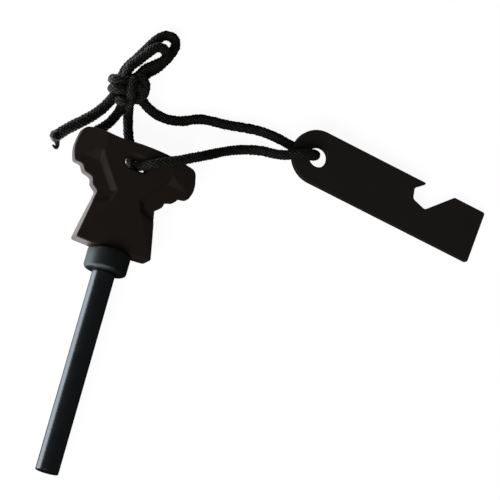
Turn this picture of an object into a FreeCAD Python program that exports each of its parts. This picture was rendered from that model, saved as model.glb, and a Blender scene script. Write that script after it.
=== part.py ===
import FreeCAD, Part
import math
import os

# Pocket fire starter: a ferrocerium rod in a moulded grip, a flat steel striker with a bottle
# opener notch, and the braided cord that ties the two together with a bow knot.
# It lies on a table as it would be dropped there: the rod points to -Y, the width of the grip is
# along X, +Z is up and the table is z = 0. All sizes are in millimetres.

V = FreeCAD.Vector
os.makedirs("parts", exist_ok=True)

# Ferrocerium rod
ROD_D = 8.0
ROD_EXPOSED = 70.0
ROD_SEAT = 6.7
# The coating is ground off where the rod is glued in
ROD_SEAT_D = 7.6
ROD_CHAMFER = 0.4

# Turned collar: a bore below for the rod and a spigot above for the grip
COLLAR_D = 15.0
COLLAR_H = 8.2
COLLAR_ROUND = 1.2
SPIGOT_D = 5.0
SPIGOT_L = 8.0
SPIGOT_CHAMFER = 0.5
GLUE_FILM = 0.15
# Room round the rod in the bore
BORE_GAP = 0.2

# Moulded grip
GRIP_W = 44.6
GRIP_H = 38.2
GRIP_T = 8.0
GRIP_EDGE_ROUND = 0.5
SLOT_L = 8.6
SLOT_W = 4.6
# From the grip's upper corners down to the middle of the slot
SLOT_DOWN = 7.0
SLOT_RIM_ROUND = 0.9
RECESS_DEPTH = 1.7
WALL_RUN = 1.8
RAMP_RUN = 2.6
STEP_RUN = 4.0
FACET_DEPTH = 1.55
FACET_RUN = 5.9
WING_DEPTH = 2.4
WING_RUN = 9.6

# Half outline of the grip, from the foot to the crown: across as a share of half the width, up as
# a share of the height, and how far the corner's arc reaches as a share of the shorter side there
GRIP_OUTLINE_shares = [
    (0.340, 0.000, 0.031),
    (0.614, 0.009, 0.148),
    (0.473, 0.471, 0.192),
    (0.574, 0.516, 0.170),
    (0.601, 0.579, 0.326),
    (0.744, 0.603, 0.186),
    (0.803, 0.657, 0.278),
    (0.937, 0.665, 0.244),
    (1.009, 0.772, 0.589),
    (0.935, 0.942, 0.262),
]
CROWN_shares = (1.031, 0.714)

# Rim of the finger recess in the same two shares: where its ramp leaves the outline, its lower and
# upper inner corners, the upper end of its wall, and the height of its step
RAMP_OUT_shares = (0.547, 0.275)
RECESS_LOW_shares = (0.242, 0.401)
RECESS_IN_shares = (0.179, 0.513)
WALL_END_shares = (0.556, 0.814)
STEP_share = 0.830
# Rim of the long facet below the recess, and where the wings start to thin
FACET_LOW_shares = (0.610, 0.008)
FACET_HIGH_shares = (0.251, 0.396)
WING_share = 0.556

# Steel striker
STRIKER_L = 75.0
STRIKER_W = 19.5
STRIKER_T = 2.0
STRIKER_HOLE_D = 7.0
STRIKER_CORNER_R = 0.8
STRIKER_CHAMFER = 0.2
# Where it lies: its hole from the middle of the grip's foot, the hole's height over the table and
# the turn of its length in degrees
STRIKER_X = 63.2
STRIKER_Y = 56.9
HOLE_RISE = 5.25
STRIKER_TURN = -6.25

# Bottle opener notch: along from the hole's middle as a share of the length, across as a share of
# half the width, and the corner's radius as a share of half the width
NOTCH_shares = [
    (0.551, 1.000, 0.045),
    (0.497, 0.636, 0.120),
    (0.509, 0.236, 0.150),
    (0.581, 0.072, 0.130),
    (0.701, 1.000, 0.060),
]

# Braided cord
CORD_D = 3.2
TIP_L = 2.4
TIP_NECK = 0.8
# Share of the shorter run beside a corner that the arc of the cord takes up
ARC_share = 0.45

# Routes of the cord, point by point as it lies, in the frame of the whole part. Each strand comes
# in its free stretches, cut in the middle of the run between one and the next. The knot is at
# (-61, 63.5). Front strand: from the tip of the front tail through the knot, out and back along the
# long bight. The under strand lies on the table, 0.1 clear of it.
FRONT_STRAND = {
    "cord_tail_front": [
        (-81.2, 37.9, 1.7), (-79.6, 41.4, 1.7), (-77.2, 44.7, 1.7), (-73.9, 48.1, 1.7),
        (-70.4, 51.3, 1.7), (-67.6, 54.9, 2.0), (-65.6, 58.9, 2.8), (-64.8, 63.1, 3.2),
    ],
    "cord_long_bight": [
        (-64.4, 67.2, 2.4), (-63.7, 71.4, 1.7), (-60.5, 76.2, 1.7), (-56.9, 83.2, 1.7),
        (-54.1, 87.3, 1.7), (-51.7, 88.0, 1.7), (-49.5, 86.9, 1.7), (-48.6, 84.6, 1.7),
        (-49.9, 80.3, 1.7), (-52.7, 75.2, 1.7), (-56.4, 71.4, 2.0), (-58.6, 67.4, 3.0),
        (-59.4, 63.4, 3.5),
    ],
}
# Back strand: from the tip of the back tail, hidden under the grip, through the knot and along the
# short bight, which lies on top of the long one
BACK_STRAND = {
    "cord_tail_back": [
        (-71.6, 41.4, 1.7), (-69.4, 44.6, 1.7), (-66.5, 47.6, 1.7), (-64.2, 50.4, 1.7),
        (-62.6, 53.7, 1.8), (-61.6, 57.5, 2.9), (-62.0, 61.6, 4.8),
    ],
    "cord_short_bight": [
        (-63.8, 66.0, 6.0), (-63.9, 70.6, 5.2), (-60.9, 75.4, 5.0), (-57.2, 81.5, 5.0),
        (-54.4, 82.2, 5.0), (-51.9, 80.6, 5.0), (-51.2, 77.7, 5.0), (-53.6, 73.9, 5.0),
        (-57.0, 70.4, 5.4), (-59.2, 66.6, 6.0), (-60.4, 62.8, 6.2),
    ],
}
# Standing strand: from the knot under the grip, up through its slot, over the grip and the table
# to the striker, down through its hole and back to the knot
STANDING_STRAND = {
    "cord_knot_to_grip": [
        (-60.3, 62.3, 3.3), (-59.5, 58.3, 2.3), (-58.2, 54.0, 1.8), (-56.8, 49.3, 1.7),
        (-54.8, 44.3, 2.2), (-52.3, 39.2, 3.15), (-51.43, 37.18, 5.18), (-51.65, 36.98, 9.35),
    ],
    "cord_grip_to_striker": [
        (-51.43, 36.77, 13.48), (-49.5, 37.55, 15.65), (-44.9, 39.6, 15.8), (-40.0, 42.0, 15.8),
        (-35.8, 44.6, 14.9), (-31.6, 47.4, 12.4), (-26.9, 50.9, 7.7), (-22.1, 54.4, 3.8),
        (-17.3, 57.0, 1.9), (-12.6, 58.6, 1.75), (-8.8, 59.2, 2.9), (-5.5, 58.7, 5.2),
        (-2.6, 58.8, 7.6), (1.0, 59.9, 9.4), (6.45, 62.1, 9.35), (8.5, 62.85, 7.1),
    ],
    "cord_striker_to_knot": [
        (8.4, 63.0, 3.75), (6.15, 63.7, 1.95), (1.0, 64.7, 1.7), (-5.3, 65.8, 1.7),
        (-11.6, 66.1, 1.7), (-18.0, 65.1, 1.7), (-24.2, 63.9, 1.7), (-29.7, 63.5, 1.7),
        (-34.5, 62.6, 1.75), (-39.3, 59.8, 1.7), (-44.6, 58.5, 1.7), (-50.3, 59.2, 1.7),
        (-55.0, 61.5, 2.1), (-58.2, 64.9, 3.0),
    ],
}

# Turns of cord that make the knot: the middle of each, its radius, and the way its axis points.
# Two turns lie side by side on the left, one stands between them and the last, which lies flat
KNOT_TURNS = [
    ((-65.2, 66.1, 4.8), 3.0, (-0.30, 0.95, 0.05)),
    ((-64.3, 61.9, 4.8), 3.0, (-0.30, 0.95, 0.05)),
    ((-61.4, 63.6, 5.2), 3.4, (1.00, 0.10, -0.15)),
    ((-58.8, 64.6, 5.2), 3.1, (-0.20, -0.20, 0.95)),
]
KNOT_CORE_R = 3.9
KNOT_CORE_ENDS = [(-63.6, 63.8, 4.6), (-58.6, 64.2, 4.6)]

# One overrun for every cutting tool
OVERRUN = 1.0
# Two heights nearer than this are the same height
TINY = 1e-6


def unit(vector):
    return V(vector).normalize()


def turn_at(points, i):
    """Half the turn that a route of points makes at one point, with its two directions."""
    back = unit(points[i - 1] - points[i])
    ahead = unit(points[(i + 1) % len(points)] - points[i])
    return (math.pi - back.getAngle(ahead)) / 2, back, ahead


def arc_radius(points, i, reach_share):
    """The radius of the corner arc that takes up a share of the shorter run beside a point."""
    shorter = min((points[i] - points[i - 1]).Length, (points[(i + 1) % len(points)] - points[i]).Length)
    return reach_share * shorter / math.tan(turn_at(points, i)[0])


def rounded_edges(points, radii, closed):
    """Straight runs joined by tangent arcs, with one radius for each corner."""
    corners = []
    for i, (point, radius) in enumerate(zip(points, radii)):
        if radius == 0:
            corners.append((point, None, point))
            continue
        half_turn, back, ahead = turn_at(points, i)
        reach = radius * math.tan(half_turn)
        middle = point + unit(back + ahead) * (radius / math.cos(half_turn) - radius)
        corners.append((point + back * reach, middle, point + ahead * reach))
    edges = []
    for i, (start, middle, end) in enumerate(corners):
        if middle is not None:
            edges.append(Part.Arc(start, middle, end).toShape())
        if closed or i + 1 < len(corners):
            edges.append(Part.LineSegment(end, corners[(i + 1) % len(corners)][0]).toShape())
    return edges


def revolved(rows):
    """A solid turned about Y from rows of radius and height."""
    points = [V(radius, height, 0) for radius, height in rows]
    return Part.Face(Part.makePolygon(points + points[:1])).revolve(V(0, 0, 0), V(0, 1, 0), 360)


def edges_round(shape, radius, wanted):
    """The shape with every edge rounded whose two ends are both wanted."""
    picked = [edge for edge in shape.Edges if all(wanted(vertex) for vertex in edge.Vertexes)]
    return shape.makeFillet(radius, picked)


# Resting pose of the grip, collar and rod: the low rim of the collar and the tip touch the table
SEAT_REACH = COLLAR_D / 2 - COLLAR_ROUND - ROD_D / 2
TIP_REACH = ROD_EXPOSED - ROD_CHAMFER + COLLAR_ROUND
TILT = math.atan2(SEAT_REACH, TIP_REACH) + math.asin(COLLAR_ROUND / math.hypot(SEAT_REACH, TIP_REACH))
AXIS_RISE = ((COLLAR_D / 2 - COLLAR_ROUND) * math.cos(TILT)
             + (COLLAR_H - COLLAR_ROUND) * math.sin(TILT) + COLLAR_ROUND)

# Resting pose of the striker: its hole end lies on the cord and its far end on the table
STRIKER_R = STRIKER_W / 2
STRIKER_REACH = STRIKER_L - STRIKER_R
LOW_EDGE = (STRIKER_REACH - STRIKER_CHAMFER, STRIKER_T / 2)
STRIKER_TILT = math.asin(HOLE_RISE / math.hypot(*LOW_EDGE)) - math.atan2(LOW_EDGE[1], LOW_EDGE[0])


def lay_grip(shape):
    """From the grip's own frame, where Y is the rod's axis, to where it lies on the table."""
    laid = shape.copy()
    laid.rotate(V(0, 0, 0), V(1, 0, 0), math.degrees(TILT))
    laid.translate(V(0, 0, AXIS_RISE))
    return laid


def lay_striker(shape):
    """From the striker's own frame, where X is its length, to where it lies on the table."""
    laid = shape.copy()
    laid.rotate(V(0, 0, 0), V(0, 1, 0), math.degrees(STRIKER_TILT))
    laid.rotate(V(0, 0, 0), V(0, 0, 1), STRIKER_TURN)
    laid.translate(V(STRIKER_X, STRIKER_Y, HOLE_RISE))
    return laid


# Rod and its glue


def ferro_rod():
    """The rod, with a chamfer at both ends and its seated end ground a little thinner."""
    radius, seat_radius = ROD_D / 2, ROD_SEAT_D / 2
    low, high = -COLLAR_H - ROD_EXPOSED, ROD_SEAT - COLLAR_H
    return revolved([
        (0, low), (radius - ROD_CHAMFER, low), (radius, low + ROD_CHAMFER),
        (radius, -COLLAR_H), (seat_radius, -COLLAR_H),
        (seat_radius, high - ROD_CHAMFER), (seat_radius - ROD_CHAMFER, high), (0, high),
    ])


def rod_bore():
    depth = ROD_SEAT + GLUE_FILM
    return Part.makeCylinder(ROD_D / 2 + BORE_GAP, depth, V(0, -COLLAR_H, 0), V(0, 1, 0))


def rod_adhesive():
    return rod_bore().cut(ferro_rod())


# Collar: a ferrule with rounded rims, a blind bore and a chamfered spigot


def spigot(growth):
    return revolved([
        (0, -COLLAR_ROUND), (SPIGOT_D / 2 + growth, -COLLAR_ROUND),
        (SPIGOT_D / 2 + growth, SPIGOT_L - SPIGOT_CHAMFER + growth),
        (SPIGOT_D / 2 - SPIGOT_CHAMFER + growth, SPIGOT_L + growth), (0, SPIGOT_L + growth),
    ])


def rod_collar():
    barrel = Part.makeCylinder(COLLAR_D / 2, COLLAR_H, V(0, -COLLAR_H, 0), V(0, 1, 0))
    barrel = barrel.makeFillet(COLLAR_ROUND, barrel.Edges[:1] + barrel.Edges[2:])
    return barrel.cut(rod_bore()).fuse(spigot(0)).removeSplitter()


def collar_adhesive():
    above = Part.makeBox(SPIGOT_D * 2, SPIGOT_L * 2, SPIGOT_D * 2, V(-SPIGOT_D, 0, -SPIGOT_D))
    return spigot(GLUE_FILM).common(above).cut(spigot(0))


# Grip: one moulding with finger recesses, facets and thinner wings on both faces

HALF_W = GRIP_W / 2
HALF_T = GRIP_T / 2
SLOT_Y = GRIP_H - SLOT_DOWN


def grip_point(shares):
    return V(shares[0] * HALF_W, shares[1] * GRIP_H, 0)


def on_face(vertex):
    """Whether a corner lies on the upper or the under face of the grip."""
    return abs(abs(vertex.Z) - HALF_T) < TINY


def grip_blank():
    left = [(-across, up, reach) for across, up, reach in reversed(GRIP_OUTLINE_shares)]
    rows = GRIP_OUTLINE_shares + [(0, *CROWN_shares)] + left
    points = [grip_point(row) for row in rows]
    radii = [arc_radius(points, i, row[2]) for i, row in enumerate(rows)]
    blank = Part.Face(Part.Wire(rounded_edges(points, radii, True))).extrude(V(0, 0, GRIP_T))
    blank.translate(V(0, 0, -HALF_T))
    return edges_round(blank, GRIP_EDGE_ROUND, on_face)


def slot_tool():
    """The slot for the cord, with round ends, through both faces."""
    end = SLOT_L / 2 - SLOT_W / 2
    low = -HALF_T - OVERRUN
    height = GRIP_T + 2 * OVERRUN
    body = Part.makeBox(2 * end, SLOT_W, height, V(-end, SLOT_Y - SLOT_W / 2, low))
    ends = [Part.makeCylinder(SLOT_W / 2, height, V(x, SLOT_Y, low)) for x in (-end, end)]
    return body.multiFuse(ends).removeSplitter()


def slot_rim(vertex):
    """Whether a corner belongs to the rim of the slot on one of the two faces."""
    near = abs(vertex.X) < SLOT_L / 2 + TINY and abs(vertex.Y - SLOT_Y) < SLOT_W / 2 + TINY
    return near and on_face(vertex)


def crossing(line_a, line_b):
    """Where two flat lines meet, each given as a point and a direction."""
    (a, along_a), (b, along_b) = line_a, line_b
    area = along_b.x * along_a.y - along_a.x * along_b.y
    gap = b - a
    return a + along_a * ((along_b.x * gap.y - gap.x * along_b.y) / area)


def rim_line(start, end, run):
    """A side of the recess: a point, its direction, the way in and the run of its slope."""
    along = unit(end - start)
    return start, along, V(along.y, -along.x, 0), run


def recess_tool():
    """The finger recess: a flat floor inside four sloping sides, cut in from the outline."""
    low = grip_point(RECESS_LOW_shares)
    inner = grip_point(RECESS_IN_shares)
    step = V(0, STEP_share * GRIP_H, 0)
    outside = V(HALF_W + OVERRUN, 0, 0)
    sides = [
        rim_line(grip_point(RAMP_OUT_shares), low, RAMP_RUN),
        rim_line(low, inner, WALL_RUN),
        rim_line(inner, grip_point(WALL_END_shares), WALL_RUN),
        rim_line(step, step + V(HALF_W, 0, 0), STEP_RUN),
        rim_line(outside + V(0, GRIP_H, 0), outside, 0),
    ]

    def ring(rise):
        moved = []
        for start, along, inwards, run in sides:
            moved.append((start + inwards * (-rise * run / RECESS_DEPTH), along))
        height = V(0, 0, HALF_T + rise)
        return [crossing(moved[i - 1], moved[i]) + height for i in range(len(moved))]

    low_ring, high_ring = ring(-RECESS_DEPTH), ring(OVERRUN)
    corners = [low_ring, high_ring]
    for i in range(len(sides)):
        corners.append([low_ring[i - 1], low_ring[i], high_ring[i], high_ring[i - 1]])
    faces = [Part.Face(Part.makePolygon(face + face[:1])) for face in corners]
    tool = Part.Solid(Part.Shell(faces))
    if tool.Volume < 0:
        tool.reverse()
    return tool


def ramp_tool(start, along, away, depth, run, reach, length):
    """A wedge that planes a face down: from a line on the face, sloping away from it."""
    lift = away * (-OVERRUN * run / depth) + V(0, 0, OVERRUN)
    sink = away * reach + V(0, 0, -reach * depth / run)
    corner = start + V(0, 0, HALF_T)
    profile = [corner, corner + sink, corner + away * reach + V(0, 0, OVERRUN), corner + lift]
    return Part.Face(Part.makePolygon(profile + profile[:1])).extrude(along * length)


def facet_tool():
    """The long facet from the foot up to the recess."""
    low, high = grip_point(FACET_LOW_shares), grip_point(FACET_HIGH_shares)
    along = unit(high - low)
    away = V(along.y, -along.x, 0)
    before = along * (-2 * FACET_RUN)
    length = (high - low).Length + 2 * FACET_RUN
    return ramp_tool(low + before, along, away, FACET_DEPTH, FACET_RUN, 2 * FACET_RUN, length)


def wing_tool():
    """The slope that thins the wing towards its outer edge."""
    start = V(WING_share * HALF_W, -OVERRUN, 0)
    length = GRIP_H + 2 * OVERRUN
    return ramp_tool(start, V(0, 1, 0), V(1, 0, 0), WING_DEPTH, WING_RUN, 2 * WING_RUN, length)


def four_ways(tool):
    """The same tool on the left and the right, on the upper and the under face."""
    both = [tool, tool.mirror(V(0, 0, 0), V(1, 0, 0))]
    return both + [side.mirror(V(0, 0, 0), V(0, 0, 1)) for side in both]


def grip():
    body = edges_round(grip_blank().cut(slot_tool()), SLOT_RIM_ROUND, slot_rim)
    for tool in (recess_tool(), facet_tool(), wing_tool()):
        body = body.cut(four_ways(tool))
    return body.cut(spigot(GLUE_FILM)).removeSplitter()


# Striker: a stamped plate with a round end, a hole and a hooked notch


def striker_plate():
    half = STRIKER_R
    notch = [(x * STRIKER_L, y * half, radius * half) for x, y, radius in NOTCH_shares]
    rows = [(0, -half, 0), (STRIKER_REACH, -half, STRIKER_CORNER_R)]
    rows += [(STRIKER_REACH, half, STRIKER_CORNER_R)] + notch[::-1] + [(0, half, 0)]
    points = [V(x, y, 0) for x, y, radius in rows]
    edges = rounded_edges(points, [row[2] for row in rows], False)
    edges.append(Part.Arc(V(0, half, 0), V(-half, 0, 0), V(0, -half, 0)).toShape())
    plate = Part.Face(Part.Wire(edges)).extrude(V(0, 0, STRIKER_T))
    plate.translate(V(0, 0, -STRIKER_T / 2))
    hole_low = V(0, 0, -STRIKER_T / 2 - OVERRUN)
    plate = plate.cut(Part.makeCylinder(STRIKER_HOLE_D / 2, STRIKER_T + 2 * OVERRUN, hole_low))
    rims = [edge for edge in plate.Edges if edge.BoundBox.ZLength < TINY]
    return plate.makeChamfer(STRIKER_CHAMFER, rims)


# Cord: tubes of straight runs joined by tangent arcs, one for each free stretch


def cord_tube(points, radii):
    """A round tube along the route, with its length."""
    path = Part.Wire(rounded_edges(points, radii, False))
    start = Part.Wire(Part.makeCircle(CORD_D / 2, points[0], points[1] - points[0]))
    return path.makePipeShell([start], True, False), path.Length


def cord_stretches(strand):
    """The tubes of one strand, cut square between its stretches, so that they meet face to face."""
    points = [V(*point) for stretch in strand.values() for point in stretch]
    radii = [0] + [arc_radius(points, i, ARC_share) for i in range(1, len(points) - 1)] + [0]
    tubes = {}
    start, first, last = points[0], 1, 0
    for name, stretch in strand.items():
        last += len(stretch)
        if last < len(points):
            end = (points[last - 1] + points[last]) / 2
            inner, inner_radii = points[first:last], radii[first:last]
        else:
            end = points[-1]
            inner, inner_radii = points[first:-1], radii[first:-1]
        tube, length = cord_tube([start] + inner + [end], [0] + inner_radii + [0])
        wanted = math.pi * CORD_D ** 2 / 4 * length
        print(name, "length", round(length, 1), "least radius", round(min(inner_radii), 2))
        print("    volume", round(tube.Volume, 2), "section times length", round(wanted, 2))
        tubes[name] = tube
        start, first = end, last
    return tubes


def cord_tip(tail):
    """The melted end of a tail: a short neck and a dome."""
    end, before = V(*tail[0]), V(*tail[1])
    radius = CORD_D / 2
    neck, crown = V(radius, TIP_NECK, 0), V(0, TIP_L, 0)
    shoulder = V(radius * math.sin(math.pi / 4), TIP_NECK + (TIP_L - TIP_NECK) * math.sin(math.pi / 4), 0)
    profile = Part.Wire([
        Part.LineSegment(V(0, 0, 0), V(radius, 0, 0)).toShape(),
        Part.LineSegment(V(radius, 0, 0), neck).toShape(),
        Part.Arc(neck, shoulder, crown).toShape(),
        Part.LineSegment(crown, V(0, 0, 0)).toShape(),
    ])
    tip = Part.Face(profile).revolve(V(0, 0, 0), V(0, 1, 0), 360)
    tip.Placement = FreeCAD.Placement(end, FreeCAD.Rotation(V(0, 1, 0), end - before))
    return tip


def cord_knot():
    """The knot: four turns of the cord round a core of the strands inside them."""
    ends = [V(*end) for end in KNOT_CORE_ENDS]
    core = Part.makeCylinder(KNOT_CORE_R, (ends[1] - ends[0]).Length, ends[0], ends[1] - ends[0])
    turns = [Part.makeSphere(KNOT_CORE_R, end) for end in ends]
    for middle, radius, axis in KNOT_TURNS:
        turns.append(Part.makeTorus(radius, CORD_D / 2, V(*middle), V(*axis)))
    return core.multiFuse(turns).removeSplitter()


RIGID = {
    "grip": lay_grip(grip()),
    "rod_collar": lay_grip(rod_collar()),
    "collar_adhesive": lay_grip(collar_adhesive()),
    "rod_adhesive": lay_grip(rod_adhesive()),
    "ferro_rod": lay_grip(ferro_rod()),
    "striker_plate": lay_striker(striker_plate()),
}

# The origin is the middle of the foot of the box round the rigid pieces
box = Part.makeCompound(list(RIGID.values())).optimalBoundingBox(False)
SHIFT = V(-box.Center.x, -box.Center.y, -box.ZMin)
sizes = (box.XLength, box.YLength, box.ZLength)
print("origin moved by", [round(c, 4) for c in SHIFT], "box", [round(c, 3) for c in sizes])

for name, shape in RIGID.items():
    shape.translate(SHIFT)
    shape.exportStep("parts/" + name + ".step")
    print(name, "valid", shape.isValid(), "solids", len(shape.Solids), "volume", round(shape.Volume, 2))

CORDS = {}
for strand in (FRONT_STRAND, BACK_STRAND, STANDING_STRAND):
    CORDS.update(cord_stretches(strand))
CORDS["cord_tip_front"] = cord_tip(FRONT_STRAND["cord_tail_front"])
CORDS["cord_tip_back"] = cord_tip(BACK_STRAND["cord_tail_back"])
CORDS["cord_knot"] = cord_knot()
for name, shape in CORDS.items():
    shape.exportStep("parts/" + name + ".step")
    print(name, "valid", shape.isValid(), "solids", len(shape.Solids))
print("tilt of the grip", round(math.degrees(TILT), 3), "rise", round(AXIS_RISE, 3))
print("tilt of the striker", round(math.degrees(STRIKER_TILT), 3))
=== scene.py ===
# %% [markdown]
# # A pocket fire starter, dressed for its portrait
#
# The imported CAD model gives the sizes: a ferrocerium rod in a turned collar, a moulded grip, a
# flat steel striker, and the route of the cord that ties them together. This lesson lays the
# photograph's camera over that frame, braids the cord, ties its knot, softens the moulded edges
# and gives each surface its own finish.
#
# Sizes are written in millimetres and turned into metres with `MM`.

import math

import bmesh
import bpy
from mathutils import Matrix, Vector


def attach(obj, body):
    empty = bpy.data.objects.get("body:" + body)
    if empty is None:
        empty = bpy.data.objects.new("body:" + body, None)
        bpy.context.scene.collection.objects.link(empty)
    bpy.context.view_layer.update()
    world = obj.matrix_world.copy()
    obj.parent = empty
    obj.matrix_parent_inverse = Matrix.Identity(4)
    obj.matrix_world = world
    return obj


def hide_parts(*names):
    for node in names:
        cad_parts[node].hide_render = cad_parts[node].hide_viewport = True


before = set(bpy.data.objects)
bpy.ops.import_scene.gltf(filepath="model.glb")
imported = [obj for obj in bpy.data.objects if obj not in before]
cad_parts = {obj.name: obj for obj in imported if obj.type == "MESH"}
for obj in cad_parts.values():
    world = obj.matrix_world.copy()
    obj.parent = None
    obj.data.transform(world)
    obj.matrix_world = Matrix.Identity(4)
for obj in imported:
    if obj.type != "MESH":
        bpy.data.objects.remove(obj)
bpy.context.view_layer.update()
MM = 0.001
print("frame:", len(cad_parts), "nodes")


# %% [markdown]
# ## Camera
#
# The camera was worked out from the photograph: the perspective of the rod and the collar gives
# its distance, and the side faces that show give its direction. Its three axes are written as
# rows.

# %% Camera
CAMERA_AT = (-327.23, -311.39, 1150.81)
CAMERA_AXES = (
    (0.91235, 0.24503, 0.32798),
    (-0.31586, 0.93096, 0.18313),
    (-0.26046, -0.27067, 0.92677),
)
CAMERA_LENS, CAMERA_SENSOR = 259.2, 36.0
CLIP_NEAR, CLIP_FAR = 0.1, 20.0


def place_camera():
    data = bpy.data.cameras.new("camera")
    data.lens = CAMERA_LENS
    data.sensor_width = CAMERA_SENSOR
    data.clip_start, data.clip_end = CLIP_NEAR, CLIP_FAR
    camera = bpy.data.objects.new("camera", data)
    turn = Matrix(CAMERA_AXES).transposed().to_4x4()
    camera.matrix_world = Matrix.Translation(Vector(CAMERA_AT) * MM) @ turn
    bpy.context.scene.collection.objects.link(camera)
    bpy.context.scene.camera = camera
    return camera


print("camera:", place_camera().location)


# %% [markdown]
# ## Small helpers for meshes
#
# Every piece is built by one of these, so each object sits at the origin with its place in its
# mesh. Pieces are modelled with bmesh operators, modifiers and a bevelled curve. Only the braid
# has its points worked out, because no operator winds yarns over and under each other.

# %% Mesh helpers


def add_object(name, data):
    piece = bpy.data.objects.new(name, data)
    bpy.context.scene.collection.objects.link(piece)
    return piece


def shade(mesh, smooth=True):
    mesh.polygons.foreach_set("use_smooth", [smooth] * len(mesh.polygons))


def mesh_object(name, points, faces):
    mesh = bpy.data.meshes.new(name)
    mesh.from_pydata([tuple(point) for point in points], [], faces)
    mesh.validate()
    shade(mesh)
    return add_object(name, mesh)


def bmesh_object(name, work, smooth=True):
    """Turns a finished bmesh into an object and frees it."""
    mesh = bpy.data.meshes.new(name)
    work.to_mesh(mesh)
    work.free()
    shade(mesh, smooth)
    return add_object(name, mesh)


# %% [markdown]
# ## Routes of the cord
#
# The cord is one length of 3.2 mm braid, tied with a bow knot. Its three strands leave the knot
# as a long bight with the front tail, a short bight with the back tail, and the standing loop
# that runs through the grip and the striker. The points are those of the CAD routes, some of them
# moved by up to 2 mm to lie as they do in the photograph.

# %% Routes
CORD_D = 3.2
CORD_R = CORD_D / 2 * MM
FRONT_ROUTE = [
    (-81.2, 39.4, 2.1), (-79.6, 41.5, 2.1), (-77.2, 44.2, 2.05), (-73.9, 47.4, 2.0),
    (-70.4, 51.0, 1.9), (-67.6, 54.9, 2.0), (-65.6, 58.9, 2.8), (-64.8, 63.1, 3.2),
    (-64.4, 67.2, 2.4), (-63.7, 71.4, 1.7), (-60.5, 76.2, 1.7), (-56.9, 83.2, 1.7),
    (-54.1, 86.9, 1.7), (-51.7, 87.6, 1.7), (-49.5, 86.9, 1.7), (-48.6, 84.6, 1.7),
    (-49.9, 80.3, 1.7), (-52.7, 75.2, 1.7), (-56.4, 71.4, 2.0), (-58.6, 67.4, 3.0),
    (-59.4, 63.4, 3.5),
]
BACK_ROUTE = [
    (-71.6, 41.4, 1.7), (-69.4, 44.6, 1.7), (-66.5, 47.6, 1.7), (-64.2, 50.4, 1.7),
    (-62.6, 53.7, 1.8), (-61.6, 57.5, 2.9), (-62.0, 61.6, 4.8), (-63.8, 66.0, 6.0),
    (-63.7, 70.4, 5.3), (-60.4, 74.8, 5.2), (-56.6, 80.6, 5.2), (-54.0, 81.5, 5.2),
    (-51.9, 80.2, 5.2), (-51.7, 77.9, 5.2), (-54.4, 75.0, 5.2), (-58.2, 71.9, 5.5),
    (-60.0, 67.5, 6.0), (-60.7, 63.0, 6.2),
]
STANDING_ROUTE = [
    (-60.3, 62.3, 3.3), (-59.5, 58.3, 2.3), (-58.2, 54.0, 1.8), (-56.8, 49.3, 1.7),
    (-54.8, 44.3, 2.2), (-53.5, 39.2, 3.15), (-53.4, 37.1, 5.1), (-52.7, 36.85, 9.2),
    (-51.3, 36.55, 13.2), (-48.6, 37.5, 15.85), (-44.9, 39.6, 15.9), (-40.0, 42.0, 15.8),
    (-35.8, 44.6, 14.9), (-31.6, 47.4, 12.4), (-26.9, 50.9, 7.7), (-22.1, 54.4, 3.8),
    (-17.3, 57.0, 1.9), (-12.6, 58.6, 1.75), (-8.8, 59.2, 2.9), (-5.5, 58.7, 5.2),
    (-2.6, 58.8, 7.6), (1.0, 59.9, 9.4), (6.45, 62.1, 9.35), (8.5, 62.85, 7.1), (8.4, 63.0, 3.75),
    (6.15, 63.7, 1.95), (1.0, 64.7, 1.7), (-5.3, 65.8, 1.7), (-11.6, 66.1, 1.7),
    (-18.0, 65.1, 1.7), (-24.2, 63.9, 1.7), (-29.7, 63.5, 1.7), (-34.5, 62.6, 1.75),
    (-39.3, 59.8, 1.7), (-44.6, 58.5, 1.7), (-50.3, 59.2, 1.7), (-55.0, 61.5, 2.1),
    (-58.2, 64.9, 3.0),
]
print("routes:", len(FRONT_ROUTE), len(BACK_ROUTE), len(STANDING_ROUTE), "points")

# %% [markdown]
# The turns of the knot that show, each a strand that comes out of the knot and goes back into it.

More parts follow.
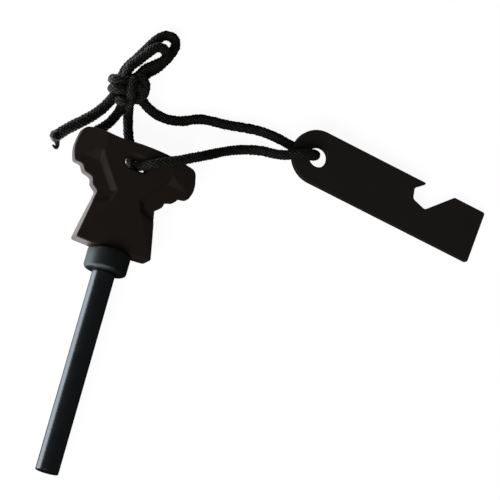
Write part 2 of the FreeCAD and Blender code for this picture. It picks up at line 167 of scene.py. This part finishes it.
# %% Turns of the knot
KNOT_TURNS = {
    "knot_wrap_upper": [
        (-62.6, 67.5, 2.2), (-65.2, 66.5, 1.9), (-67.2, 65.6, 2.8), (-67.9, 64.9, 4.7),
        (-67.4, 64.5, 6.5), (-65.8, 64.6, 7.4), (-64.0, 65.1, 7.1), (-62.4, 65.9, 5.6),
        (-61.6, 66.6, 3.8),
    ],
    "knot_wrap_lower": [
        (-61.8, 64.3, 2.2), (-64.4, 63.3, 1.9), (-66.5, 62.4, 2.8), (-67.2, 61.7, 4.7),
        (-66.7, 61.3, 6.5), (-65.1, 61.4, 7.4), (-63.3, 61.9, 7.1), (-61.7, 62.7, 5.6),
        (-60.9, 63.4, 3.8),
    ],
    "knot_wrap_end": [
        (-60.9, 61.8, 3.2), (-62.4, 60.6, 2.4), (-63.6, 59.3, 3.2), (-63.8, 58.4, 4.8),
        (-62.9, 58.1, 6.2), (-61.5, 58.8, 6.2), (-60.2, 59.9, 4.6),
    ],
    "knot_standing": [
        (-58.4, 54.6, 1.8), (-58.9, 56.3, 2.1), (-59.5, 57.7, 3.6), (-60.2, 59.1, 6.1),
        (-60.9, 60.9, 8.0), (-61.4, 63.0, 8.7), (-61.5, 65.0, 8.3), (-61.4, 66.3, 6.7),
        (-61.4, 66.7, 4.6), (-61.6, 66.0, 2.8),
    ],
    "knot_loop_right": [
        (-60.8, 67.2, 3.4), (-60.6, 67.9, 5.2), (-59.5, 68.2, 6.6), (-57.8, 67.8, 6.8),
        (-56.6, 66.3, 6.6), (-56.1, 64.3, 6.2), (-56.3, 62.1, 5.6), (-57.3, 60.8, 4.6),
        (-58.5, 61.1, 3.0),
    ],
    "knot_cross": [
        (-61.2, 65.2, 5.2), (-60.2, 64.9, 6.4), (-58.9, 64.7, 7.0), (-57.3, 64.4, 6.4),
        (-56.2, 63.9, 4.8), (-55.9, 63.6, 3.0),
    ],
    "knot_heart": [
        (-64.6, 66.8, 4.4), (-62.9, 65.4, 5.0), (-61.4, 63.6, 5.2), (-60.2, 61.6, 5.0),
        (-59.9, 59.8, 4.2),
    ],
}
print("turns:", list(KNOT_TURNS))


# %% [markdown]
# ## Smooth lines
#
# A route is only a handful of points. A NURBS spline with those points as its control points is
# the real, smooth line, and Blender reads points off it for the tube to follow. The braid is a
# little fuller than its CAD tube, so the whole route is lifted a little, to lie on the table and
# not in it.

# %% Spline
SPLINE_STEPS = 24
TINY = 1e-12
CORD_LIFT = Vector((0.0, 0.0, 0.18))


def nurbs_mesh(name, route, thickness=0.0, radii=None):
    """A NURBS spline on the route, as a mesh: a bare line, or a tube if it has a thickness."""
    curve = bpy.data.curves.new(name, "CURVE")
    curve.dimensions = "3D"
    curve.resolution_u = SPLINE_STEPS
    curve.bevel_depth = thickness
    curve.use_fill_caps = thickness > 0.0
    spline = curve.splines.new("NURBS")
    spline.points.add(len(route) - 1)
    for control, point, radius in zip(spline.points, route, radii or [1.0] * len(route)):
        control.co = (*((Vector(point) + CORD_LIFT) * MM), 1.0)
        control.radius = radius
    spline.order_u = 3
    spline.use_endpoint_u = True
    holder = add_object(name, curve)
    mesh = bpy.data.meshes.new_from_object(holder)
    bpy.data.objects.remove(holder)
    bpy.data.curves.remove(curve)
    return mesh


def smooth_line(name, route):
    """The points of the route's spline, in order."""
    mesh = nurbs_mesh(name, route)
    line = [vertex.co.copy() for vertex in mesh.vertices]
    bpy.data.meshes.remove(mesh)
    return line


def even_steps(line, step):
    """Points at even distances along a line, and the length of the line."""
    lengths = [0.0]
    for before, after in zip(line, line[1:]):
        lengths.append(lengths[-1] + (after - before).length)
    count = max(2, round(lengths[-1] / step))
    points, place = [], 0
    for i in range(count + 1):
        wanted = lengths[-1] * i / count
        while place < len(lengths) - 2 and lengths[place + 1] < wanted:
            place += 1
        share = (wanted - lengths[place]) / max(lengths[place + 1] - lengths[place], TINY)
        points.append(line[place].lerp(line[place + 1], min(max(share, 0.0), 1.0)))
    return points, lengths[-1]


# %% [markdown]
# ## Braiding
#
# A round braid has two families of yarns that wind opposite ways and pass over and under each
# other. It could be faked with a bump, but the photograph shows the yarns in the outline of the
# cord as well. So for each point of the tube the two yarns there are worked out, the upper one
# sets the height, and the mesh keeps three facts for the material: the height, how far the point
# is across its yarn, and how far along it. Each crossing is pulled a little looser or tighter
# than the next, and the front tail is looser than the rest, as a cut end is.

# %% Braid
YARNS = 8
BRAID_PITCH = 11.0 * MM
BRAID_RELIEF = 0.62 * MM
BRAID_CROWN = 0.28 * MM
BRAID_UNDER = 0.55
BRAID_BLUNT = 0.7
BRAID_LOOSE = 0.30
LOOSE_SEEDS = (12.9, 78.2, 437.5)
SECOND_FAMILY = 100.0
RING_POINTS = 72
RING_STEP = 0.15 * MM
FLARE_L = 30.0 * MM
FLARE_RISE = 2.0
TAIL_FLARE = 0.26 * MM


def yarn_height(across, over):
    """Height of a yarn: round across, and lifted where it passes over."""
    rounded = math.sqrt(max(0.0, 1.0 - (2.0 * across) ** 2))
    lifted = math.copysign(abs(over) ** BRAID_BLUNT, over)
    return rounded * (1.0 - BRAID_UNDER) + BRAID_UNDER * lifted


def crossing_lift(i, j):
    """How much looser one crossing lies, from 0 to 1, always the same for the same crossing."""
    seed_i, seed_j, size = LOOSE_SEEDS
    return (math.sin(i * seed_i + j * seed_j) * size) % 1.0


def braid_at(turn, along):
    """Height, place across the upper yarn and place along it, for a point of the tube.

    The second family counts from a high number, so that its fibres differ from the first's.
    """
    a = (turn - along / BRAID_PITCH) * YARNS
    b = (turn + along / BRAID_PITCH) * YARNS
    i, j = math.floor(a), math.floor(b)
    across_a, across_b = a - i - 0.5, b - j - 0.5
    over_a = (-1) ** i * math.sin(math.pi * b)
    over_b = -((-1) ** j) * math.sin(math.pi * a)
    high_a, high_b = yarn_height(across_a, over_a), yarn_height(across_b, over_b)
    loose = BRAID_LOOSE * crossing_lift(i % YARNS + j, j - i)
    if high_a >= high_b:
        return high_a - loose, across_a, b
    return high_b - loose, across_b, a + SECOND_FAMILY


def line_frames(points):
    """A direction and an untwisted side for each point of a line."""
    directions = []
    for i in range(len(points)):
        before, after = points[max(i - 1, 0)], points[min(i + 1, len(points) - 1)]
        directions.append((after - before).normalized())
    side = directions[0].orthogonal().normalized()
    sides = [side]
    for before, after in zip(directions, directions[1:]):
        side = before.rotation_difference(after) @ side
        side = (side - after * side.dot(after)).normalized()
        sides.append(side)
    return directions, sides


def braid_rings(points, length, radius, start_along, flare):
    """The points of the tube, ring after ring, and the three facts of each."""
    directions, sides = line_frames(points)
    vertices, facts = [], []
    for k, (point, direction, side) in enumerate(zip(points, directions, sides)):
        run = length * k / (len(points) - 1)
        other = direction.cross(side)
        near_end = max(0.0, 1.0 - (length - run) / FLARE_L)
        swell = flare * min(1.0, FLARE_RISE * near_end)
        for m in range(RING_POINTS):
            turn = m / RING_POINTS
            height, across, along = braid_at(turn, start_along + run)
            reach = radius + swell + BRAID_CROWN + BRAID_RELIEF * (height - 1.0)
            angle = 2.0 * math.pi * turn
            out = side * math.cos(angle) + other * math.sin(angle)
            vertices.append(point + out * reach)
            facts.append((height, across, along))
    return vertices, facts


def tube_faces(rings):
    """The faces between the rings of a tube, and a cap at both ends."""
    faces = []
    last = (rings - 1) * RING_POINTS
    for low in range(0, last, RING_POINTS):
        high = low + RING_POINTS
        for m in range(RING_POINTS):
            n = (m + 1) % RING_POINTS
            faces.append((low + m, high + m, high + n, low + n))
    faces.append(tuple(range(RING_POINTS)))
    faces.append(tuple(last + m for m in reversed(range(RING_POINTS))))
    return faces


def braided_tube(name, line, start_along=0.0, flare=0.0):
    """A tube of braid along a line in metres. The flare is how much looser its far end is."""
    points, length = even_steps(line, RING_STEP)
    vertices, facts = braid_rings(points, length, CORD_R, start_along, flare)
    piece = mesh_object(name, vertices, tube_faces(len(points)))
    for index, fact in enumerate(("yarn_height", "yarn_across", "yarn_run")):
        layer = piece.data.attributes.new(fact, "FLOAT", "POINT")
        layer.data.foreach_set("value", [row[index] for row in facts])
    return piece, points


# %% [markdown]
# ## Node helpers
#
# Short helpers keep the materials readable: they add a node with its values, join two sockets,
# lay textures on the piece, and spread a texture over a range of roughness or colour.

# %% Node helpers


def new_material(name):
    material = bpy.data.materials.new(name)
    material.use_nodes = True
    tree = material.node_tree
    shader = tree.nodes["Principled BSDF"]
    return material, tree, shader


def add_node(tree, kind, inputs=(), **settings):
    node = tree.nodes.new(kind)
    for key, value in settings.items():
        setattr(node, key, value)
    for key, value in dict(inputs).items():
        node.inputs[key].default_value = value
    return node


def join(tree, source, output, target, socket):
    tree.links.new(source.outputs[output], target.inputs[socket])


def on_object(tree, *textures):
    """Lays textures on the Object coordinates, so that they keep to the piece as it moves."""
    place = tree.nodes.new("ShaderNodeTexCoord")
    for texture in textures:
        join(tree, place, "Object", texture, "Vector")


def bumped(tree, shader, height, strength, distance):
    """A bump from a height output, in millimetres, into the shader."""
    bump = add_node(tree, "ShaderNodeBump", {"Strength": strength, "Distance": distance * MM})
    tree.links.new(height, bump.inputs["Height"])
    join(tree, bump, "Normal", shader, "Normal")


def spread(tree, value, low, high):
    """A value from 0 to 1 spread to the range low to high."""
    spreader = add_node(tree, "ShaderNodeMapRange", {"To Min": low, "To Max": high})
    tree.links.new(value, spreader.inputs["Value"])
    return spreader.outputs["Result"]


def colour_between(tree, value, low, high):
    mix = add_node(tree, "ShaderNodeMix", data_type="RGBA")
    tree.links.new(value, mix.inputs["Factor"])
    mix.inputs["A"].default_value = (*low, 1.0)
    mix.inputs["B"].default_value = (*high, 1.0)
    return mix.outputs["Result"]


def clouded(tree, shader, value, colours, roughness):
    """Lets a value from 0 to 1 move the colour and the roughness, each between two ends."""
    tree.links.new(colour_between(tree, value, *colours), shader.inputs["Base Color"])
    tree.links.new(spread(tree, value, *roughness), shader.inputs["Roughness"])


# %% [markdown]
# ## Fine grain
#
# A moulded, a sprayed and a coated surface all have a fine grain. It could be drawn in each
# material, but one node group with a scale is built once and placed in all three. It puts out a
# height only.

# %% Grain group
CELL_SHARE = 0.5


def grain_group():
    """Fine moulded or sprayed grain, as a height: a noise, and cells with a share in it."""
    group = bpy.data.node_groups.new("fine_grain", "ShaderNodeTree")
    group.interface.new_socket("Vector", in_out="INPUT", socket_type="NodeSocketVector")
    group.interface.new_socket("Scale", in_out="INPUT", socket_type="NodeSocketFloat")
    group.interface.new_socket("Height", in_out="OUTPUT", socket_type="NodeSocketFloat")
    start, end = group.nodes.new("NodeGroupInput"), group.nodes.new("NodeGroupOutput")
    coarse = add_node(group, "ShaderNodeTexNoise", {"Detail": 3.0, "Roughness": 0.6})
    cells = add_node(group, "ShaderNodeTexVoronoi", {"Randomness": 1.0})
    mix = add_node(group, "ShaderNodeMath", operation="MULTIPLY_ADD", inputs={1: CELL_SHARE})
    for texture in (coarse, cells):
        join(group, start, "Vector", texture, "Vector")
        join(group, start, "Scale", texture, "Scale")
    join(group, cells, "Distance", mix, 0)
    join(group, coarse, "Fac", mix, 2)
    join(group, mix, 0, end, "Height")
    return group


GRAIN = grain_group()


def add_grain(tree, scale):
    node = add_node(tree, "ShaderNodeGroup", node_tree=GRAIN)
    node.inputs["Scale"].default_value = scale
    return node


print("groups:", [group.name for group in bpy.data.node_groups])


# %% [markdown]
# ## Moulded plastic
#
# Everything is nearly black, so the finishes differ by gloss and grain. The grip is satin
# plastic: a warm black with a slow change in gloss and a shallow grain from the mould.

# %% Moulded plastic


def moulded_plastic():
    material, tree, shader = new_material("grip_plastic")
    grain = add_grain(tree, scale=5200.0)
    cloud = add_node(tree, "ShaderNodeTexNoise", {"Scale": 160.0, "Detail": 4.0})
    on_object(tree, grain, cloud)
    colours = (0.084, 0.067, 0.059), (0.100, 0.080, 0.071)
    clouded(tree, shader, cloud.outputs["Fac"], colours, roughness=(0.33, 0.41))
    bumped(tree, shader, grain.outputs["Height"], strength=0.25, distance=0.02)
    return material


# %% [markdown]
# ## Anodised collar
#
# The collar is turned aluminium under a blue-grey anodised layer. A dark metal with a low edge
# tint gives that look, and faint rings round its axis are what the lathe left.

# %% Anodised collar


def anodised():
    material, tree, shader = new_material("collar_anodised")
    rings = add_node(
        tree, "ShaderNodeTexWave", {"Scale": 1500.0, "Distortion": 1.2, "Detail": 2.0},
        wave_type="BANDS", bands_direction="Y",
    )
    cloud = add_node(tree, "ShaderNodeTexNoise", {"Scale": 300.0, "Detail": 3.0})
    on_object(tree, rings, cloud)
    colours = (0.150, 0.178, 0.188), (0.195, 0.226, 0.236)
    clouded(tree, shader, cloud.outputs["Fac"], colours, roughness=(0.42, 0.52))
    shader.inputs["Metallic"].default_value = 1.0
    shader.inputs["Specular Tint"].default_value = (0.6, 0.6, 0.6, 1.0)
    bumped(tree, shader, rings.outputs["Fac"], strength=0.12, distance=0.01)
    return material


# %% [markdown]
# ## Coated rod
#
# A new ferrocerium rod has a smooth black coat that mirrors one long strip of light. It is a dark
# metal too, glossier than the collar, with hardly any grain.

# %% Coated rod


def coated_rod():
    material, tree, shader = new_material("rod_coated")
    grain = add_grain(tree, scale=2600.0)
    cloud = add_node(tree, "ShaderNodeTexNoise", {"Scale": 220.0, "Detail": 4.0})
    on_object(tree, grain, cloud)
    colours = (0.245, 0.287, 0.325), (0.305, 0.350, 0.392)
    clouded(tree, shader, cloud.outputs["Fac"], colours, roughness=(0.24, 0.32))
    shader.inputs["Metallic"].default_value = 1.0
    shader.inputs["Specular Tint"].default_value = (0.45, 0.45, 0.45, 1.0)
    bumped(tree, shader, grain.outputs["Height"], strength=0.12, distance=0.02)
    return material


# %% [markdown]
# ## Matte striker
#
# The striker is sprayed steel: the roughest of the hard surfaces, with the deepest grain.

# %% Matte striker


def matte_steel():
    material, tree, shader = new_material("striker_steel")
    grain = add_grain(tree, scale=3600.0)
    cloud = add_node(tree, "ShaderNodeTexNoise", {"Scale": 120.0, "Detail": 5.0})
    on_object(tree, grain, cloud)
    colours = (0.088, 0.075, 0.065), (0.104, 0.090, 0.078)
    clouded(tree, shader, cloud.outputs["Fac"], colours, roughness=(0.46, 0.58))
    bumped(tree, shader, grain.outputs["Height"], strength=0.35, distance=0.025)
    return material


# %% [markdown]
# ## Braid of the cord
#
# Crowns of the yarns are worn smooth and glossier than the gaps. Their colour is painted from the
# height kept in the mesh: painted shade, near black, in the gaps between the yarns, and a lighter
# painted highlight on the crowns. Fine fibres run along each yarn.

# %% Braid of the cord
FIBRE_STRETCH = (14.0, 1.6, 1.0)
FIBRE_SHARE = 0.25


def braid_material():
    material, tree, shader = new_material("cord_braid")
    facts = {}
    for fact in ("yarn_height", "yarn_across", "yarn_run"):
        facts[fact] = add_node(tree, "ShaderNodeAttribute", attribute_name=fact)
    spot = add_node(tree, "ShaderNodeCombineXYZ")
    join(tree, facts["yarn_across"], "Fac", spot, "X")
    join(tree, facts["yarn_run"], "Fac", spot, "Y")
    stretch = add_node(
        tree, "ShaderNodeVectorMath", operation="MULTIPLY", inputs={1: FIBRE_STRETCH},
    )
    fibres = add_node(
        tree, "ShaderNodeTexNoise", {"Scale": 1.0, "Detail": 2.0, "Roughness": 0.6},
    )
    join(tree, spot, "Vector", stretch, 0)
    join(tree, stretch, 0, fibres, "Vector")
    # The yarn height, spread from 0 to 1, sets both the painted shade and highlight and the
    # gloss.
    painted_light_and_gloss_share = add_node(tree, "ShaderNodeMapRange", {"From Min": 0.30, "From Max": 0.88})
    join(tree, facts["yarn_height"], "Fac", painted_light_and_gloss_share, "Value")
    # Painted shade in the gaps between yarns, painted highlight on the crowns.
    gap_painted_shade, crown_painted_highlight = (0.0052, 0.0050, 0.0047), (0.060, 0.057, 0.053)
    colour = colour_between(tree, painted_light_and_gloss_share.outputs["Result"], gap_painted_shade, crown_painted_highlight)
    tree.links.new(colour, shader.inputs["Base Color"])
    dull = add_node(tree, "ShaderNodeMapRange", {"To Min": 0.85, "To Max": 0.20})
    join(tree, painted_light_and_gloss_share, "Result", dull, "Value")
    worn = add_node(tree, "ShaderNodeMath", operation="MULTIPLY_ADD", inputs={1: FIBRE_SHARE})
    join(tree, fibres, "Fac", worn, 0)
    join(tree, dull, "Result", worn, 2)
    join(tree, worn, 0, shader, "Roughness")
    shader.inputs["Specular IOR Level"].default_value = 0.85
    bumped(tree, shader, fibres.outputs["Fac"], strength=0.6, distance=0.05)
    return material


# %% [markdown]
# ## Melted ends and glue
#
# The tails were sealed with a flame, which leaves a glossy, lumpy black. The glue that shows as a
# thin line where the rod leaves the collar is a glossy dark epoxy.

# %% Melted ends and glue


def melted_material():
    material, tree, shader = new_material("cord_melted")
    lumps = add_node(tree, "ShaderNodeTexNoise", {"Scale": 1800.0, "Detail": 3.0})
    on_object(tree, lumps)
    colours = (0.004, 0.004, 0.004), (0.012, 0.011, 0.010)
    clouded(tree, shader, lumps.outputs["Fac"], colours, roughness=(0.18, 0.38))
    bumped(tree, shader, lumps.outputs["Fac"], strength=0.5, distance=0.08)
    return material


def glue_material():
    material, tree, shader = new_material("glue")
    cloud = add_node(tree, "ShaderNodeTexNoise", {"Scale": 900.0, "Detail": 2.0})
    on_object(tree, cloud)
    colours = (0.012, 0.012, 0.012), (0.022, 0.021, 0.020)
    clouded(tree, shader, cloud.outputs["Fac"], colours, roughness=(0.15, 0.3))
    return material


PLASTIC = moulded_plastic()
ANODISED = anodised()
COATED = coated_rod()
STEEL = matte_steel()
BRAID = braid_material()
MELTED = melted_material()
GLUE = glue_material()
print("materials:", [material.name for material in bpy.data.materials])

# %% [markdown]
# ## Finishing a piece
#
# Each new piece gets its material and the body that it moves with, and the CAD nodes that it
# stands for are hidden.

# %% Finishing a piece


def finish_piece(piece, material, slot, body, *replaced):
    piece.data.materials.clear()
    piece.data.materials.append(material)
    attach(piece, body)
    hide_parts(*replaced)


# %% [markdown]
# ## The cord, strand by strand
#
# Each of the three strands is one braided tube along its route.

# %% Strands
STRANDS = {
    "cord_front": (FRONT_ROUTE[::-1], "bare", ("cord_long_bight", "cord_tail_front")),
    "cord_back": (BACK_ROUTE[::-1], "bare", ("cord_short_bight", "cord_tail_back")),
    "cord_standing": (
        STANDING_ROUTE, "knot",
        ("cord_knot_to_grip", "cord_grip_to_striker", "cord_striker_to_knot"),
    ),
}

tubes = {}
for name, (route, far_end, nodes) in STRANDS.items():
    flare = TAIL_FLARE if name == "cord_front" else 0.0
    tube, path = braided_tube(name, smooth_line(name + "_line", route), flare=flare)
    tubes[name] = (tube, path, far_end)
    finish_piece(tube, BRAID, "cord_braid", "lanyard", *nodes)
    print(name, len(tube.data.vertices), "vertices")

# %% [markdown]
# ## Sealed ends
#
# Each tail ends in a short lump of melted cord: a sphere, stretched along the strand, with its
# surface pushed in and out by a few waves. On the front tail a thread was drawn out of the melt
# and curled as it cooled, which a tapering bevelled curve makes.

# %% Sealed ends
TIP_L = 1.9 * MM
TIP_R = CORD_R + BRAID_CROWN
TIP_SINK = 0.3 * MM
TIP_LUMP = 0.07
TIP_WAVES = (5.0, 2.0, 4.0, -3.0)
TIP_SEGMENTS = (40, 24)
TIP_NODES = {"cord_front": ("cord_tip_front", TAIL_FLARE), "cord_back": ("cord_tip_back", 0.0)}
THREAD_ROUTE = [
    (-80.6, 39.6, 2.1), (-80.2, 38.8, 1.5), (-79.7, 37.9, 1.1), (-79.2, 37.0, 0.9),
    (-79.4, 36.1, 0.8), (-80.2, 36.3, 0.8), (-81.0, 36.8, 0.8),
]
THREAD_R = 0.62 * MM
THREAD_TAPER = [2.2, 2.0, 1.5, 1.15, 1.0, 0.9, 0.5]


def melted_tip(name, line, flare):
    """A lumpy ball on the end of a line. The flare is how much wider the strand is there."""
    end, direction = line[-1], (line[-1] - line[-4]).normalized()
    across, down = TIP_SEGMENTS
    work = bmesh.new()
    bmesh.ops.create_uvsphere(work, u_segments=across, v_segments=down, radius=1.0)
    a, b, c, d = TIP_WAVES
    for vertex in work.verts:
        x, y, z = vertex.co
        vertex.co *= 1.0 + TIP_LUMP * math.sin(a * x + b * z) * math.cos(c * y + d * z)
    size = Matrix.Diagonal((TIP_R + flare, TIP_R + flare, TIP_L, 1.0))
    place = Matrix.Translation(end - direction * TIP_SINK)
    turn = direction.to_track_quat("Z", "Y").to_matrix().to_4x4()
    bmesh.ops.transform(work, matrix=place @ turn @ size, verts=work.verts)
    return bmesh_object(name, work)


tips = {}
for name, (node, flare) in TIP_NODES.items():
    tip = melted_tip(name + "_tip", tubes[name][1], flare)
    finish_piece(tip, MELTED, "cord_melted", "lanyard", node)
    tips[name] = [tip]
thread_mesh = nurbs_mesh("cord_front_thread", THREAD_ROUTE, THREAD_R, THREAD_TAPER)
shade(thread_mesh)
thread = add_object("cord_front_thread", thread_mesh)
finish_piece(thread, MELTED, "cord_melted", "lanyard", "cord_tip_front")
tips["cord_front"].append(thread)
print("ends:", [piece.name for pieces in tips.values() for piece in pieces])

# %% [markdown]
# ## The knot
#
# A real knot would have to be tied, so only the turns that show are braided. Each comes out of
# the heart of the knot and goes back into it, and moves with the rest of the cord. The braid
# starts a little further along on each turn, so that no two of them show the same yarns.

# %% Knot
TURN_SHIFT = 3.7 * MM

for index, (name, route) in enumerate(KNOT_TURNS.items()):
    line = smooth_line(name + "_line", route)
    turn = braided_tube(name, line, start_along=index * TURN_SHIFT)[0]
    finish_piece(turn, BRAID, "cord_braid", "lanyard", "cord_knot")


# %% [markdown]
# ## The grip
#
# The CAD grip has the real recesses and facets, with crisp edges between them. A moulding has
# none, so a copy of it is remeshed finely and smoothed a little, which rounds every edge by about
# 0.3 mm. In the photograph its left shoulder stands a little taller than in the CAD outline, so
# the copy is drawn out there, less and less with the distance from the shoulder.

# %% Grip
GRIP_WELD = 1e-6
GRIP_VOXEL = 0.25 * MM
GRIP_SMOOTHING, GRIP_PASSES = 0.5, 5
SHOULDER_AT = Vector((-72.2, 41.5)) * MM
SHOULDER_REACH = 13.0 * MM
SHOULDER_LIFT = 2.1 * MM


def softened_copy(node, name):
    """A copy of a CAD node with all its edges softened."""
    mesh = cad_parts[node].data.copy()
    work = bmesh.new()
    work.from_mesh(mesh)
    bmesh.ops.remove_doubles(work, verts=work.verts, dist=GRIP_WELD)
    work.to_mesh(mesh)
    work.free()
    piece = add_object(name, mesh)
    remesh = piece.modifiers.new("remesh", "REMESH")
    remesh.mode = "VOXEL"
    remesh.voxel_size = GRIP_VOXEL
    smooth = piece.modifiers.new("smooth", "SMOOTH")
    smooth.factor = GRIP_SMOOTHING
    smooth.iterations = GRIP_PASSES
    view = bpy.context.evaluated_depsgraph_get()
    soft = bpy.data.meshes.new_from_object(piece.evaluated_get(view))
    piece.modifiers.clear()
    piece.data = soft
    bpy.data.meshes.remove(mesh)
    shade(soft)
    return piece


def draw_out_shoulder(piece):
    """Moves the vertices near the left shoulder up, with a smooth fall-off."""
    for vertex in piece.data.vertices:
        near = max(0.0, 1.0 - (vertex.co.xy - SHOULDER_AT).length / SHOULDER_REACH)
        vertex.co.y += SHOULDER_LIFT * near * near * (3.0 - 2.0 * near)


grip = softened_copy("grip", "grip_moulding")
draw_out_shoulder(grip)
print("grip:", len(grip.data.vertices), "vertices")
finish_piece(grip, PLASTIC, "grip_plastic", "grip", "grip")


# %% [markdown]
# ## Rod and collar
#
# The rod and the collar are turned again here, each from its half outline, with more points round
# them than the CAD meshes have, so that their highlights run straight. The rod's seat in the
# collar is ground a little thinner, and a ring close to each step keeps the shading of the long
# side clean. The photograph shows the collar a touch shorter than the CAD model, with a wide soft
# lower edge. Both profiles are in millimetres, in the grip's own frame, which lies tilted on the
# table.

# %% Rod and collar
TILT = math.radians(2.831)
GRIP_ORIGIN = Vector((-53.4218, 5.8135, 7.838)) * MM
ROD_PROFILE = [
    (0.0, -78.2), (3.88, -78.2), (3.97, -78.17), (4.0, -78.08), (4.0, -77.9), (4.0, -76.9),
    (4.0, -8.6), (4.0, -7.6), (4.0, -7.45), (3.8, -7.4), (3.8, -2.0), (3.4, -1.5), (0.0, -1.5),
]
COLLAR_R, COLLAR_FOOT, BORE_R = 7.5, -7.45, 4.2
COLLAR_PROFILE = [
    (0.0, 8.0), (2.1, 8.0), (2.5, 7.6), (2.5, 0.0), (COLLAR_R, 0.0), (COLLAR_R, COLLAR_FOOT),
    (BORE_R, COLLAR_FOOT), (BORE_R, -1.3), (0.0, -1.3),
]
COLLAR_ROUND, BORE_ROUND = (1.25, 8), (0.25, 3)
COLLAR_RINGS = [
    (COLLAR_R, 0.0, *COLLAR_ROUND), (COLLAR_R, COLLAR_FOOT, *COLLAR_ROUND),
    (BORE_R, COLLAR_FOOT, *BORE_ROUND),
]
TURNED_POINTS = 128
TURNED_WELD = 1e-4
RING_REACH = 0.01
SHARP_ANGLE = math.radians(40.0)


def grip_frame():
    """From the grip's own frame, in millimetres, to the frame of the part, in metres."""
    return Matrix.Translation(GRIP_ORIGIN) @ Matrix.Rotation(TILT, 4, "X") @ Matrix.Scale(MM, 4)


def ring_edges(work, radius, height):
    """The edges of one ring of a turned piece."""

    def on_ring(vertex):
        off_radius = math.hypot(vertex.co.x, vertex.co.z) - radius
        return abs(off_radius) < RING_REACH and abs(vertex.co.y - height) < RING_REACH

    return [edge for edge in work.edges if all(on_ring(vertex) for vertex in edge.verts)]


def turned(name, profile, rounded=()):
    """A piece turned about the grip's Y axis from rows of radius and height.

    Each row of rounded is a ring to round off: radius, height, width and steps.
    """
    work = bmesh.new()
    rim = [work.verts.new((radius, height, 0.0)) for radius, height in profile]
    for before, after in zip(rim, rim[1:]):
        work.edges.new((before, after))
    bmesh.ops.spin(
        work, geom=list(work.verts) + list(work.edges), cent=(0, 0, 0), axis=(0, 1, 0),
        angle=2 * math.pi, steps=TURNED_POINTS, use_merge=True,
    )
    bmesh.ops.remove_doubles(work, verts=work.verts, dist=TURNED_WELD)
    bmesh.ops.recalc_face_normals(work, faces=work.faces)
    for radius, height, width, steps in rounded:
        bmesh.ops.bevel(
            work, geom=ring_edges(work, radius, height), offset=width, segments=steps,
            profile=0.5, affect="EDGES", material=-1,
        )
    bmesh.ops.transform(work, matrix=grip_frame(), verts=work.verts)
    piece = bmesh_object(name, work)
    piece.data.set_sharp_from_angle(angle=SHARP_ANGLE)
    return piece


rod = turned("rod", ROD_PROFILE)
finish_piece(rod, COATED, "rod_coated", "grip", "ferro_rod")
collar = turned("collar", COLLAR_PROFILE, COLLAR_RINGS)
finish_piece(collar, ANODISED, "collar_anodised", "grip", "rod_collar")
print("turned:", len(rod.data.vertices), len(collar.data.vertices), "vertices")

# %% [markdown]
# ## Striker and glue
#
# The striker and the two films of glue keep their CAD shapes and only get their finishes.

# %% Striker and glue
KEPT_NODES = {"striker_plate": STEEL, "collar_adhesive": GLUE, "rod_adhesive": GLUE}
for node, material in KEPT_NODES.items():
    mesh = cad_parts[node].data
    mesh.materials.clear()
    mesh.materials.append(material)
    print(node, "has", material.name)


# %% [markdown]
# ## Table
#
# The photograph stands on pure white, with no shadow, no white mirrored in the right edges of the
# black parts and no light thrown up on their sides. So the table glows softly, as a light table
# does, but is left out of reflections and of bounced light.

# %% Table
FLOOR_HALF = 1.5
FLOOR_COLOUR = (0.93, 0.93, 0.93, 1.0)
FLOOR_ROUGHNESS, FLOOR_GLOW = 0.7, 1.0


def table_top():
    work = bmesh.new()
    bmesh.ops.create_grid(work, x_segments=1, y_segments=1, size=FLOOR_HALF)
    floor = bmesh_object("table", work, smooth=False)
    material, _, shader = new_material("table_white")
    shader.inputs["Base Color"].default_value = FLOOR_COLOUR
    shader.inputs["Roughness"].default_value = FLOOR_ROUGHNESS
    shader.inputs["Emission Color"].default_value = FLOOR_COLOUR
    shader.inputs["Emission Strength"].default_value = FLOOR_GLOW
    floor.data.materials.append(material)
    floor.visible_glossy = False
    floor.visible_diffuse = False


table_top()
print("table:", 2 * FLOOR_HALF, "m square")

# %% [markdown]
# ## Light
#
# A soft panel at the front left lights the tops of the parts. A glowing sheet lies on the table
# to the left of the rod. It is as white as the table to the camera, and it is what the left sides
# of the rod, the collar, the grip and the cord mirror. Its edge lies 3 mm from the rod, which
# leaves the dark line under the rod and the collar that the photograph shows. A dim room does the
# rest.

# %% Lights
AIM = Vector((-20.0, 20.0, 5.0)) * MM


def soft_panel(name, at, turn, size, power):
    data = bpy.data.lights.new(name, "AREA")
    data.shape = "RECTANGLE"
    data.size, data.size_y = size  # in metres
    data.energy = power  # in watts
    panel = bpy.data.objects.new(name, data)
    panel.location = at
    panel.rotation_euler = turn
    bpy.context.scene.collection.objects.link(panel)


def towards_part(at):
    """The turn that points a panel at the middle of the part."""
    return (AIM - Vector(at)).to_track_quat("-Z", "Y").to_euler()


PANEL_AT, PANEL_SIZE, PANEL_POWER = (-0.60, -1.20, 0.98), (1.6, 0.9), 4.2
SHEET_AT, SHEET_SIZE, SHEET_POWER = (-0.460, 0.0, 0.0003), (0.8, 1.2), 4.1
FACING_UP = (math.pi, 0.0, 0.0)
ROOM_COLOUR, ROOM_STRENGTH = (0.91, 0.87, 0.81, 1.0), 0.022

soft_panel("panel_left", PANEL_AT, towards_part(PANEL_AT), PANEL_SIZE, PANEL_POWER)
soft_panel("sheet_left", SHEET_AT, FACING_UP, SHEET_SIZE, SHEET_POWER)
print("lights:", [light.name for light in bpy.data.lights])

world = bpy.data.worlds.new("studio")
world.use_nodes = True
backdrop = world.node_tree.nodes["Background"]
backdrop.inputs["Color"].default_value = ROOM_COLOUR
backdrop.inputs["Strength"].default_value = ROOM_STRENGTH
bpy.context.scene.world = world
bpy.context.scene.view_settings.view_transform = "Standard"
